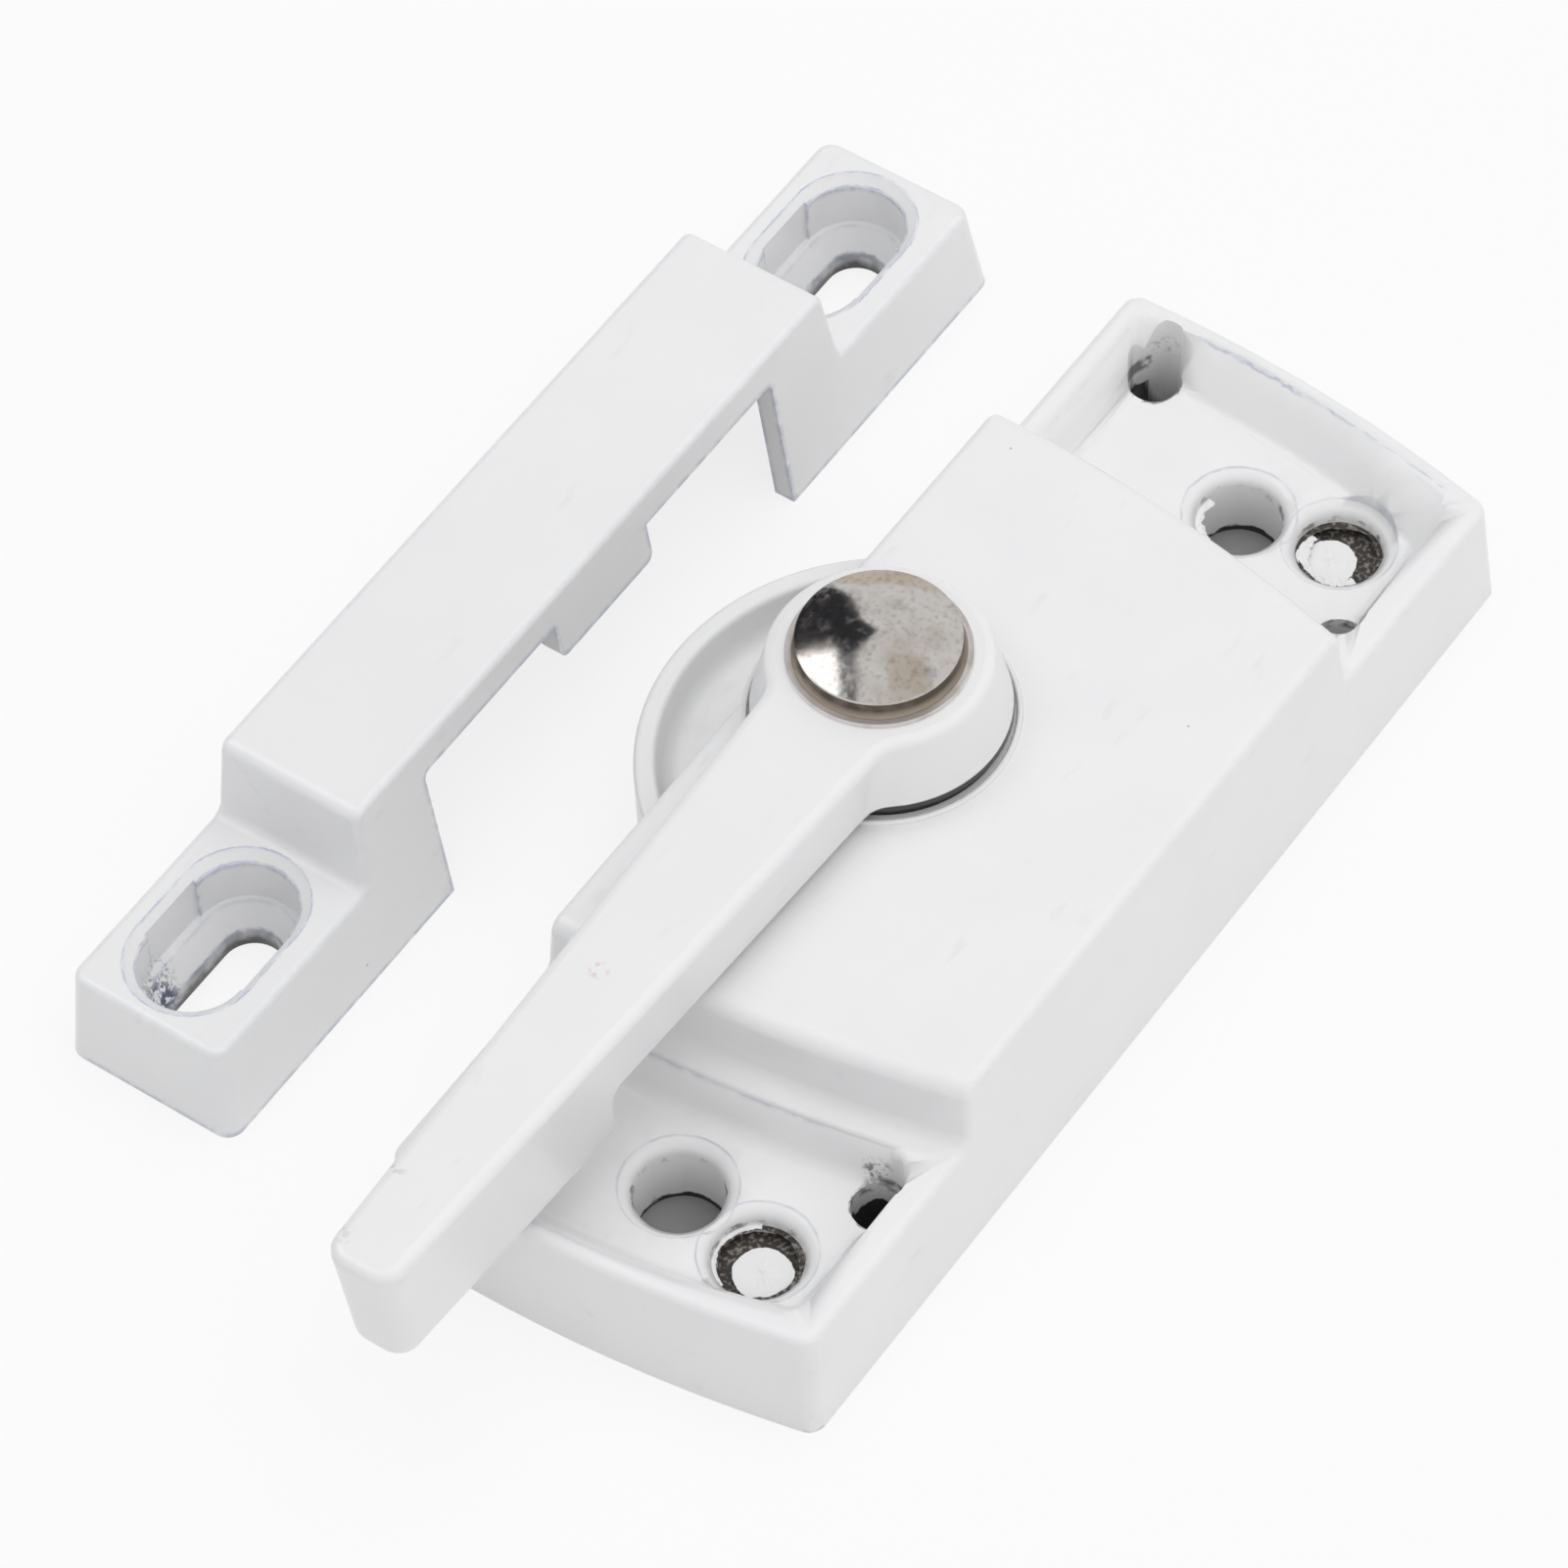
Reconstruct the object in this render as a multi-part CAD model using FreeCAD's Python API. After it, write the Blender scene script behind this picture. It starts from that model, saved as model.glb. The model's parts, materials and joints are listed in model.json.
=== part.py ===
import FreeCAD, Part
import math
import os

# A crescent lock for a sliding window, lying on its mounting face, and its keeper beside it.
# Millimetres, Z up. Both lie on z = 0. The origin is the middle of the case's inner pair of screw
# holes on its mounting face, the case runs along Y, and the crescent reaches out towards -X.

# Case outline
case_length = 92.0          # along its longer left edge, at the base
case_width = 33.4
case_end_taper = 3.1        # how far each end runs back from the left corner to the right one
case_end_bow = 1.2          # bulge of each end
case_corner_radius = 1.3
rim_height = 9.6
case_draft = 4.0            # lean of every outer wall of the case, in degrees
case_edge_radius = 0.7

# Raised block across the middle of the case
block_height = 15.2
block_length = 54.0         # along its left edge, at its top
block_end_taper = 4.0
block_end_bow = 1.1
block_end_radius = 1.4
block_foot_radius = 1.2

# Walls of the hollow casting
side_wall = 2.2
top_wall = 2.5
floor_wall = 2.1
boss_wall = 1.5

# Screw pockets in both ends of the case
pocket_rim = 2.0            # width of the rim round a pocket, at its top
pocket_ledge = 1.9          # strip left along the block's foot
pocket_depth = 2.5
pocket_draft = 35.0         # slope of the walls under the rim
pocket_step_draft = 16.0    # slope of the wall along the block's foot
pocket_corner_radius = 1.8
pocket_floor_radius = 1.1

# Screw holes, each with a twin in the other end
inner_screw_x = 0.0
inner_screw_pitch = 69.4
outer_screw_x = 7.5
outer_screw_pitch = 72.3
screw_sink_diameter = 8.3
screw_bore_diameter = 6.3
screw_sink_angle = 90.0
outer_web = 1.0             # web left at the bottom of the outer screw bores
outer_web_diameter = 4.8
side_hole_x = 12.2
side_hole_pitch = 57.4
corner_hole_x = -11.7
corner_hole_pitch = 83.2
small_hole_diameter = 3.9

# Pivot
pivot_x = -6.9
journal_diameter = 9.4
journal_clearance = 0.05
collar_diameter = 19.4
collar_wall = 0.45
collar_height = 0.25
collar_edge_radius = 0.15
axial_clearance = 0.05

# Lever
hub_top_diameter = 15.6
hub_foot_diameter = 18.3
lever_top = 21.8
lever_reach = 59.9          # from the pivot to the tip
arm_underside = 16.3
arm_root_width = 10.2      # at the pivot
arm_tip_width = 5.4
arm_draft = 1.5             # how the sides lean in below the top, in degrees
tip_draft = 6.0
lever_edge_radius = 0.8
arm_foot_radius = 0.5
arm_blend_radius = 2.5
grip_start = 36.6           # from the pivot to the step behind the grip
grip_underside = 10.7
grip_step_radius = 1.2
grip_tip_radius = 1.8
grip_chin_radius = 1.4      # round the grip's lower edge

# Rivet and its seat washer
seat_diameter = 12.9
seat_depth = 0.8            # of the washer's bed in the hub
seat_flange = 1.2
seat_boss_diameter = 12.0
seat_boss_top_diameter = 11.2
seat_boss_height = 1.0
rivet_cap_diameter = 11.5
rivet_cap_edge = 0.45
rivet_cap_underside = 0.22  # rise of the cap's underside towards its rim
rivet_crown = 1.15
rivet_shank_diameter = 4.2
rivet_hole_clearance = 0.1
rivet_tail_diameter = 6.4
rivet_tail_height = 1.1

# Bearing ring under the hub
bearing_thickness = 0.8
bearing_inset = 0.35        # from the hub's foot to the ring's outer edge
bearing_clearance = 0.1

# Crescent cam
cam_bottom = 4.6
cam_plate = 2.6
cam_rim_top = 10.3
cam_rim_width = 1.5
cam_start_radius = 17.1     # at the trailing end of the crescent
cam_end_radius = 17.9       # at the leading end, which enters the keeper first
cam_sweep = 176.0
cam_hub_diameter = 15.6
cam_pad_diameter = 25.6     # raised step round the hub, on the plate
cam_pad_height = 0.5
cam_rim_slope = 12.0        # lean of the rim's inner face
cam_edge_radius = 0.45
cam_dish_radius = 1.6      # where the rim runs into the plate
cam_case_clearance = 0.5
cam_corner_radius = 0.6
cam_square = 6.3
square_clearance = 0.05

# Stops on the cam's hub and inside the case
stop_radius = 11.4
stop_angle = 300.0
stop_width = 14.0
stop_height = 1.7
stop_gap = 0.9              # degrees left between a stop and the lug at each limit
lever_swing = 180.0

# Spring washer and tail washer
wave_thickness = 0.3
wave_height = 0.2
wave_count = 3
wave_outer_diameter = 15.0
wave_space = 0.6            # from the cam's hub to the case above it
tail_washer_diameter = 9.6
tail_washer_thickness = 0.8

# Keeper
keeper_x = -37.15
keeper_y = 1.0
keeper_length = 93.2
keeper_width = 14.3
keeper_draft = 7.0          # of its front and ends
keeper_back_draft = 2.5
keeper_end_height = 8.0
keeper_height = 15.0
keeper_bridge_length = 57.6  # at the level of the end blocks
keeper_corner_radius = 1.3
keeper_edge_radius = 0.6
keeper_shoulder_radius = 1.0
keeper_foot_radius = 0.8
keeper_wall = 1.7
keeper_top_wall = 2.7
window_length = 41.8
window_corner_radius = 0.6
catch_length = 11.0
catch_depth = 3.4
catch_corner_radius = 0.8
keeper_slot_pitch = 74.1
keeper_slot_x = -0.5        # from the middle of the keeper's foot
keeper_slot_length = 15.0
keeper_slot_width = 9.5
keeper_slot_chamfer = 0.75
keeper_slot_relief = 4.25   # from the slot's middle to its flat sides, below the chamfer
keeper_slot_bed = 3.5       # level of the bed that the screw's head sinks to
keeper_bed_ledge = 0.8
keeper_screw_length = 10.4
keeper_screw_width = 4.7
keeper_screw_depth = 1.5

over = 1.0                  # how far a cutting tool runs past the face it opens
near_zero = 0.01

UP = FreeCAD.Vector(0, 0, 1)
ORIGIN = FreeCAD.Vector(0, 0, 0)

# Levels and diameters that follow from the sizes above
pocket_floor = rim_height - pocket_depth
hollow_ceiling = pocket_floor - floor_wall
case_ceiling = block_height - top_wall
collar_top = block_height + collar_height
bearing_top = block_height + bearing_thickness
hub_bottom = bearing_top + axial_clearance
seat_bed = lever_top - seat_depth
seat_top = seat_bed + seat_flange
cap_bottom = seat_top + seat_boss_height
cap_edge_top = cap_bottom + rivet_cap_edge
rivet_hole_diameter = rivet_shank_diameter + 2 * rivet_hole_clearance
journal_bore_diameter = journal_diameter + 2 * journal_clearance
cam_hub_top = case_ceiling - wave_space
cam_plate_top = cam_bottom + cam_plate
tail_washer_bottom = cam_bottom - tail_washer_thickness
keeper_ceiling = keeper_height - keeper_top_wall


def point(x, y, z=0.0):
    return FreeCAD.Vector(x, y, z)


def lean(height, degrees):
    """How far a drafted wall leans in over a height."""
    return height * math.tan(math.radians(degrees))


def at_pivot(shape):
    return shape.translated(point(pivot_x, 0))


def cylinder(diameter, bottom, top, x=0.0, y=0.0):
    return Part.makeCylinder(diameter / 2, top - bottom, point(x, y, bottom), UP)


def box(x_range, y_range, z_range):
    corner = point(x_range[0], y_range[0], z_range[0])
    sizes = (x_range[1] - x_range[0], y_range[1] - y_range[0], z_range[1] - z_range[0])
    return Part.makeBox(*sizes, corner)


def revolved(edges):
    """Solid of revolution about the Z axis from a closed chain of edges in the XZ plane."""
    return Part.Face(Part.Wire(edges)).revolve(ORIGIN, UP, 360)


def profile(*corners):
    """Straight edges through points given as (radius, height)."""
    places = [point(radius, 0, height) for radius, height in corners]
    return [Part.makeLine(a, b) for a, b in zip(places[:-1], places[1:])]


def ring(inner, outer, bottom, top):
    """Flat ring between two diameters."""
    return cylinder(outer, bottom, top).cut(cylinder(inner, bottom - over, top + over))


def sector(inner, outer, middle, width, bottom, top):
    """Piece of a ring about the Z axis, its middle angle and width in degrees."""
    start = math.radians(middle - width / 2)
    end = math.radians(middle + width / 2)
    centre = math.radians(middle)

    def polar(radius, angle):
        return point(radius * math.cos(angle), radius * math.sin(angle), bottom)

    outer_arc = Part.Arc(polar(outer, start), polar(outer, centre), polar(outer, end)).toShape()
    inner_arc = Part.Arc(polar(inner, end), polar(inner, centre), polar(inner, start)).toShape()
    sides = [Part.makeLine(polar(outer, end), polar(inner, end)),
             Part.makeLine(polar(inner, start), polar(outer, start))]
    face = Part.Face(Part.Wire([outer_arc, sides[0], inner_arc, sides[1]]))
    return face.extrude(point(0, 0, top - bottom))


# Choosing edges to round

def places_on(edge):
    first, last = edge.ParameterRange
    return [edge.valueAt(first + (last - first) * share) for share in (0.0, 0.25, 0.5, 0.75, 1.0)]


def at_level(edge, level):
    return all(abs(place.z - level) < near_zero for place in places_on(edge))


def runs_across(edge):
    """Whether an edge runs mainly along X."""
    ends = places_on(edge)
    return abs(ends[0].x - ends[-1].x) > 2 * abs(ends[0].y - ends[-1].y)


def rises(edge):
    ends = places_on(edge)
    return abs(ends[0].z - ends[-1].z) > 0.5 * edge.Length


def rounded(shape, radius, chosen):
    """Rounds the edges that a test picks."""
    return shape.makeFillet(radius, [edge for edge in shape.Edges if chosen(edge)])


# Forms shared by the case and the keeper

def bowed_outline(sides, left, right, bow, level):
    """Four-sided outline between two X places, whose two ends may bow outward."""
    near_left = point(sides[0], -left / 2, level)
    near_right = point(sides[1], -right / 2, level)
    far_right = point(sides[1], right / 2, level)
    far_left = point(sides[0], left / 2, level)
    near = Part.makeLine(near_left, near_right)
    far = Part.makeLine(far_right, far_left)
    if bow:
        x = sum(sides) / 2
        y = (left + right) / 4 + bow
        near = Part.Arc(near_left, point(x, -y, level), near_right).toShape()
        far = Part.Arc(far_right, point(x, y, level), far_left).toShape()
    return Part.Wire([near, Part.makeLine(near_right, far_right), far, Part.makeLine(far_left, near_left)])


def leaning_sides(width, drafts, level):
    """X places of the left and right walls at a level, each with its own draft."""
    return (lean(level, drafts[0]) - width / 2, width / 2 - lean(level, drafts[1]))


def drafted_prism(width, left, right, bow, drafts, bottom, top):
    """Solid between two levels, its walls leaning in as they rise. The sizes are those at z = 0.

    The drafts are the left wall's and that of the three others.
    """
    outlines = []
    for level in (bottom, top):
        inset = 2 * lean(level, drafts[1])
        outlines.append(bowed_outline(leaning_sides(width, drafts, level), left - inset, right - inset,
                                      bow, level))
    return Part.makeLoft(outlines, True, True)


def stepped_body(base, raised, width, drafts, base_top, raised_top, radii):
    """Joins a low body and a higher one that share their two long sides, and rounds the outside.

    The radii are those of the corners, the foot of the raised part, its shoulders and the rim.
    """
    corner, foot, shoulder, rim = radii
    body = rounded(base, corner, rises).fuse(raised).removeSplitter()
    raised_reach = raised.BoundBox.YMax

    def step_foot(edge):
        return at_level(edge, base_top) and runs_across(edge) and abs(edge.CenterOfMass.y) < raised_reach

    def outer_rim(edge):
        places = places_on(edge)
        if at_level(edge, base_top):
            return max(abs(place.y) for place in places) > raised_reach + foot
        return all(place.z > base_top - near_zero and
                   min(abs(place.x - side) for side in leaning_sides(width, drafts, place.z)) < near_zero
                   for place in places)

    body = rounded(body, foot, step_foot)
    body = rounded(body, shoulder, lambda edge: at_level(edge, raised_top) and runs_across(edge))
    return rounded(body, rim, outer_rim)


def slot_outline(length, width, level):
    """Outline with straight sides along Y and round ends."""
    radius = width / 2
    straight = length / 2 - radius
    far = Part.Arc(point(radius, straight, level), point(0, length / 2, level),
                   point(-radius, straight, level)).toShape()
    near = Part.Arc(point(-radius, -straight, level), point(0, -length / 2, level),
                    point(radius, -straight, level)).toShape()
    right_side = Part.makeLine(point(radius, -straight, level), point(radius, straight, level))
    left_side = Part.makeLine(point(-radius, straight, level), point(-radius, -straight, level))
    return Part.Wire([right_side, far, left_side, near])


def slot_prism(lower, upper):
    """Solid between two slot outlines, each given as (length, width, level)."""
    return Part.makeLoft([slot_outline(*lower), slot_outline(*upper)], True, True)


# Lock case

case_drafts = (case_draft, case_draft)
case_right_length = case_length - 2 * case_end_taper
block_foot_length = block_length + 2 * lean(block_height, case_draft)
block_foot_right = block_foot_length - 2 * block_end_taper


def plate_prism(inset, bottom, top):
    """The low plate's form, thinned on every side by an inset."""
    return drafted_prism(case_width - 2 * inset, case_length - 2 * inset, case_right_length - 2 * inset,
                         case_end_bow, case_drafts, bottom, top)


def block_prism(inset, bottom, top):
    """The raised block's form, thinned on every side by an inset."""
    return drafted_prism(case_width - 2 * inset, block_foot_length - 2 * inset,
                         block_foot_right - 2 * inset, block_end_bow, case_drafts, bottom, top)


def pocket_tool():
    """Both pockets: the plate's form inside its rim, less the block and the ledge at its foot."""
    wall_lean = lean(rim_height, case_draft)
    rim_outlines = []
    ledge_outlines = []
    for depth in (-over, pocket_depth):
        level = rim_height - depth
        inset = pocket_rim + wall_lean + lean(depth, pocket_draft)
        ledge = 2 * (pocket_ledge - wall_lean + lean(depth, pocket_step_draft))
        side = case_width / 2 - inset
        rim_outlines.append(bowed_outline((-side, side), case_length - 2 * inset,
                                          case_right_length - 2 * inset, case_end_bow, level))
        ledge_outlines.append(bowed_outline((-case_width / 2, case_width / 2), block_foot_length + ledge,
                                            block_foot_right + ledge, block_end_bow, level))
    tool = Part.makeLoft(rim_outlines, True, True).cut(Part.makeLoft(ledge_outlines, True, True))
    tool = rounded(tool, pocket_corner_radius, rises)
    return rounded(tool, pocket_floor_radius, lambda edge: at_level(edge, pocket_floor))


def case_holes():
    """Every screw hole of one end as (x, y, diameter, level its bore starts from)."""
    return [(inner_screw_x, inner_screw_pitch / 2, screw_bore_diameter, -over),
            (outer_screw_x, outer_screw_pitch / 2, screw_bore_diameter, outer_web),
            (side_hole_x, side_hole_pitch / 2, small_hole_diameter, -over),
            (corner_hole_x, corner_hole_pitch / 2, small_hole_diameter, -over)]


def screw_tools():
    """Bores and countersinks of both ends."""
    sink_depth = (screw_sink_diameter - screw_bore_diameter) / 2 / math.tan(math.radians(screw_sink_angle / 2))
    tools = []
    for end in (-1, 1):
        for x, y, diameter, start in case_holes():
            tools.append(cylinder(diameter, start, rim_height, x, end * y))
            if diameter == screw_bore_diameter:
                tools.append(Part.makeCone(screw_bore_diameter / 2, screw_sink_diameter / 2, sink_depth,
                                           point(x, end * y, pocket_floor - sink_depth), UP))
                tools.append(cylinder(screw_sink_diameter, pocket_floor, rim_height, x, end * y))
        tools.append(cylinder(outer_web_diameter, -over, rim_height, outer_screw_x, end * outer_screw_pitch / 2))
    return tools


def collar():
    """Low round lip on the block's top that the hub and its bearing ring sit in."""
    lip = ring(collar_diameter - 2 * collar_wall, collar_diameter, case_ceiling, collar_top)
    return at_pivot(rounded(lip, collar_edge_radius, lambda edge: at_level(edge, collar_top)))


def cam_slot():
    """Opening in the left wall that the crescent swings through."""
    clear_radius = max(cam_start_radius, cam_end_radius) + cam_case_clearance
    wall_distance = pivot_x + case_width / 2 - side_wall
    half_length = math.sqrt(clear_radius ** 2 - wall_distance ** 2)
    inner_face = -case_width / 2 + side_wall + lean(block_height, case_draft)
    return box((-case_width, inner_face + over), (-half_length, half_length),
               (cam_bottom - cam_case_clearance, case_ceiling))


def case_stops():
    """Two posts under the top wall that the cam's lug meets at the ends of its swing."""
    offset = stop_width + stop_gap
    angles = (stop_angle - offset, stop_angle + lever_swing + offset)
    inner = cam_hub_diameter / 2 + cam_case_clearance
    bottom = cam_hub_top - stop_height
    return [at_pivot(sector(inner, stop_radius, angle, stop_width, bottom, case_ceiling + over))
            for angle in angles]


def make_lock_case():
    radii = (case_corner_radius, block_foot_radius, block_end_radius, case_edge_radius)
    body = stepped_body(plate_prism(0, 0, rim_height), block_prism(0, 0, block_height),
                        case_width, case_drafts, rim_height, block_height, radii)
    body = body.cut(pocket_tool())
    chamber = rounded(block_prism(side_wall, -over, case_ceiling), case_corner_radius, rises)
    end_hollows = plate_prism(side_wall, -over, hollow_ceiling).cut(block_prism(0, -2 * over, block_height))
    body = body.cut([chamber, rounded(end_hollows, case_corner_radius, rises)])
    bosses = [cylinder(diameter + 2 * boss_wall, 0, hollow_ceiling + over, x, end * y)
              for end in (-1, 1) for x, y, diameter, _ in case_holes()]
    body = body.fuse(bosses + case_stops() + [collar()])
    tools = screw_tools() + [cam_slot(), at_pivot(cylinder(journal_bore_diameter, -over, collar_top + over))]
    return body.cut(tools).removeSplitter()


# Lever and what turns with it

def arm_outline(level):
    """The arm from above: widest at the pivot and at the level of its top."""
    drop = lever_top - level
    root = arm_root_width / 2 - lean(drop, arm_draft)
    tip = arm_tip_width / 2 - lean(drop, arm_draft)
    reach = lever_reach - lean(drop, tip_draft)
    corners = [point(-root, 0, level), point(-tip, -reach, level), point(tip, -reach, level),
               point(root, 0, level)]
    return Part.makePolygon(corners + corners[:1])


def make_lever_handle():
    arm = Part.makeLoft([arm_outline(grip_underside), arm_outline(lever_top)], True, True)
    arm = rounded(arm, grip_tip_radius, lambda edge: rises(edge) and edge.CenterOfMass.y < -grip_start)
    arm = rounded(arm, grip_chin_radius, lambda edge: at_level(edge, grip_underside) and edge.CenterOfMass.y < 0)
    space = box((-lever_reach, lever_reach), (-grip_start, lever_reach), (0, arm_underside))
    space = rounded(space, grip_step_radius,
                    lambda edge: at_level(edge, arm_underside) and runs_across(edge) and edge.CenterOfMass.y < 0)
    arm = arm.cut(space)
    hub = Part.makeCone(hub_foot_diameter / 2, hub_top_diameter / 2, lever_top - hub_bottom,
                        point(0, 0, hub_bottom), UP)
    lever = arm.fuse(hub).removeSplitter()
    lever = rounded(lever, arm_blend_radius,
                    lambda edge: rises(edge) and -hub_foot_diameter / 2 < edge.CenterOfMass.y < -near_zero)
    lever = rounded(lever, lever_edge_radius, lambda edge: at_level(edge, lever_top))
    lever = lever.fuse(cylinder(journal_diameter, cam_hub_top, hub_bottom + over))
    half = cam_square / 2
    square = box((-half, half), (-half, half), (cam_bottom + axial_clearance, case_ceiling))
    lever = lever.fuse(square)
    lever = lever.cut([cylinder(seat_diameter, seat_bed, lever_top + over),
                       cylinder(rivet_hole_diameter, 0, lever_top)])
    return at_pivot(lever.removeSplitter())


def dome_arc(radius, rise, rim_level, way):
    """Arc of a spherical cap from its rim to the axis, bulging up (way 1) or down (way -1)."""
    sphere = (radius ** 2 + rise ** 2) / (2 * rise)
    centre_level = rim_level + way * (rise - sphere)
    half_angle = math.asin(radius / sphere) / 2
    middle = point(sphere * math.sin(half_angle), 0, centre_level + way * sphere * math.cos(half_angle))
    return Part.Arc(point(radius, 0, rim_level), middle, point(0, 0, rim_level + way * rise)).toShape()


def make_pivot_rivet():
    """Domed head, shank and the tail spread over the washer behind the cam."""
    cap = rivet_cap_diameter / 2
    shank = rivet_shank_diameter / 2
    tail = rivet_tail_diameter / 2
    edges = profile((tail, tail_washer_bottom), (shank, tail_washer_bottom), (shank, cap_bottom),
                    (seat_boss_top_diameter / 2, cap_bottom), (cap, cap_bottom + rivet_cap_underside),
                    (cap, cap_edge_top))
    edges += [dome_arc(cap, rivet_crown, cap_edge_top, 1)]
    edges += profile((0, cap_edge_top + rivet_crown), (0, tail_washer_bottom - rivet_tail_height))
    edges += [dome_arc(tail, rivet_tail_height, tail_washer_bottom, -1)]
    return at_pivot(revolved(Part.__sortEdges__(edges)))


def make_seat_washer():
    """Plated washer in the hub's bed, its raised middle carrying the rivet's cap."""
    hole = rivet_hole_diameter / 2
    flange = seat_diameter / 2
    edges = profile((hole, seat_bed), (flange, seat_bed), (flange, seat_top),
                    (seat_boss_diameter / 2, seat_top), (seat_boss_top_diameter / 2, cap_bottom),
                    (hole, cap_bottom), (hole, seat_bed))
    return at_pivot(revolved(edges))


def make_bearing_ring():
    return at_pivot(ring(journal_diameter + 2 * bearing_clearance, hub_foot_diameter - 2 * bearing_inset,
                         block_height, bearing_top))


def spiral(inset, level):
    """The crescent's outer curve, moved in by an inset: its radius grows evenly with the angle."""
    places = []
    steps = 12
    for step in range(steps + 1):
        share = step / steps
        angle = math.radians(180 + cam_sweep / 2 - cam_sweep * share)
        radius = cam_start_radius + (cam_end_radius - cam_start_radius) * share - inset
        places.append(point(radius * math.cos(angle), radius * math.sin(angle), level))
    curve = Part.BSplineCurve()
    curve.interpolate(places)
    return curve.toShape(), places[0], places[-1]


def half_disc(inset, level):
    curve, first, last = spiral(inset, level)
    return Part.Wire([curve, Part.makeLine(last, first)])


def make_crescent_cam():
    disc = Part.Face(half_disc(0, cam_bottom)).extrude(point(0, 0, cam_rim_top - cam_bottom))
    disc = rounded(disc, cam_corner_radius, rises)
    slope = lean(cam_rim_top - cam_plate_top, cam_rim_slope)
    dish = Part.makeLoft([half_disc(cam_rim_width + slope, cam_plate_top), half_disc(cam_rim_width, cam_rim_top)],
                         True, True)
    dish = rounded(dish, cam_dish_radius,
                   lambda edge: at_level(edge, cam_plate_top) and not isinstance(edge.Curve, Part.Line))
    pad = cylinder(cam_pad_diameter, cam_bottom, cam_plate_top + cam_pad_height).common(disc)
    disc = disc.cut(dish)
    disc = rounded(disc, cam_edge_radius, lambda edge: at_level(edge, cam_rim_top))
    half = cam_square / 2 + square_clearance
    lug = sector(cam_hub_diameter / 2 - over, stop_radius, stop_angle, stop_width,
                 cam_hub_top - stop_height, cam_hub_top)
    cam = disc.fuse([pad, cylinder(cam_hub_diameter, cam_bottom, cam_hub_top), lug])
    cam = cam.cut(box((-half, half), (-half, half), (0, lever_top)))
    return at_pivot(cam.removeSplitter())


def make_wave_washer():
    """Ring of even thickness whose faces rise and fall in waves."""
    inner = journal_diameter / 2 + bearing_clearance
    outer = wave_outer_diameter / 2
    middle = (cam_hub_top + case_ceiling) / 2
    steps = 12 * wave_count

    def wavy_circle(radius, offset):
        places = []
        for step in range(steps):
            angle = 2 * math.pi * step / steps
            rise = wave_height / 2 * math.sin(wave_count * angle)
            places.append(point(radius * math.cos(angle), radius * math.sin(angle), middle + offset + rise))
        curve = Part.BSplineCurve()
        curve.interpolate(Points=places, PeriodicFlag=True)
        return curve.toShape()

    half = wave_thickness / 2
    loops = [wavy_circle(inner, -half), wavy_circle(outer, -half), wavy_circle(outer, half),
             wavy_circle(inner, half)]
    faces = [Part.makeRuledSurface(a, b) for a, b in zip(loops, loops[1:] + loops[:1])]
    shell = Part.Shell([face for ruled in faces for face in ruled.Faces])
    return at_pivot(Part.Solid(shell))


def make_tail_washer():
    return at_pivot(ring(rivet_hole_diameter, tail_washer_diameter, tail_washer_bottom, cam_bottom))


# Keeper

keeper_drafts = (keeper_back_draft, keeper_draft)


def keeper_prism(length, inset, bottom, top):
    sides = length - 2 * inset
    return drafted_prism(keeper_width - 2 * inset, sides, sides, 0, keeper_drafts, bottom, top)


def make_keeper():
    bridge_foot = keeper_bridge_length + 2 * lean(keeper_end_height, keeper_draft)
    radii = (keeper_corner_radius, keeper_foot_radius, keeper_shoulder_radius, keeper_edge_radius)
    body = stepped_body(keeper_prism(keeper_length, 0, 0, keeper_end_height),
                        keeper_prism(bridge_foot, 0, 0, keeper_height),
                        keeper_width, keeper_drafts, keeper_end_height, keeper_height, radii)
    hollow = rounded(keeper_prism(bridge_foot, keeper_wall, -over, keeper_ceiling), keeper_corner_radius, rises)
    half_window = window_length / 2
    window = box((0, keeper_width), (-half_window, half_window), (-over, keeper_ceiling))
    window = rounded(window, window_corner_radius, lambda edge: at_level(edge, keeper_ceiling) and runs_across(edge))
    half_catch = catch_length / 2
    catch = box((0, keeper_width), (-half_catch, half_catch), (keeper_ceiling - catch_depth, keeper_height))
    catch = rounded(catch, catch_corner_radius,
                    lambda edge: at_level(edge, keeper_ceiling - catch_depth) and runs_across(edge))
    tools = [hollow, window.cut(catch)]
    inner_length = keeper_slot_length - 2 * keeper_slot_chamfer
    inner_width = keeper_slot_width - 2 * keeper_slot_chamfer
    chamfer_bottom = keeper_end_height - keeper_slot_chamfer
    straight = (keeper_slot_length - keeper_slot_width) / 2
    relief = box((-keeper_slot_relief, keeper_slot_relief), (-straight, straight),
                 (keeper_slot_bed, keeper_end_height))
    for end in (-1, 1):
        slots = [slot_prism((inner_length, inner_width, chamfer_bottom),
                            (keeper_slot_length, keeper_slot_width, keeper_end_height)),
                 slot_prism((inner_length, inner_width, keeper_slot_bed),
                            (inner_length, inner_width, chamfer_bottom)),
                 slot_prism((keeper_screw_length, keeper_screw_width, keeper_screw_depth),
                            (inner_length - keeper_bed_ledge, inner_width - keeper_bed_ledge, keeper_slot_bed)),
                 slot_prism((keeper_screw_length, keeper_screw_width, -over),
                            (keeper_screw_length, keeper_screw_width, keeper_screw_depth))]
        tools += [slot.translated(point(keeper_slot_x, end * keeper_slot_pitch / 2)) for slot in slots + [relief]]
    return body.cut(tools).removeSplitter().translated(point(keeper_x, keeper_y))


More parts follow.
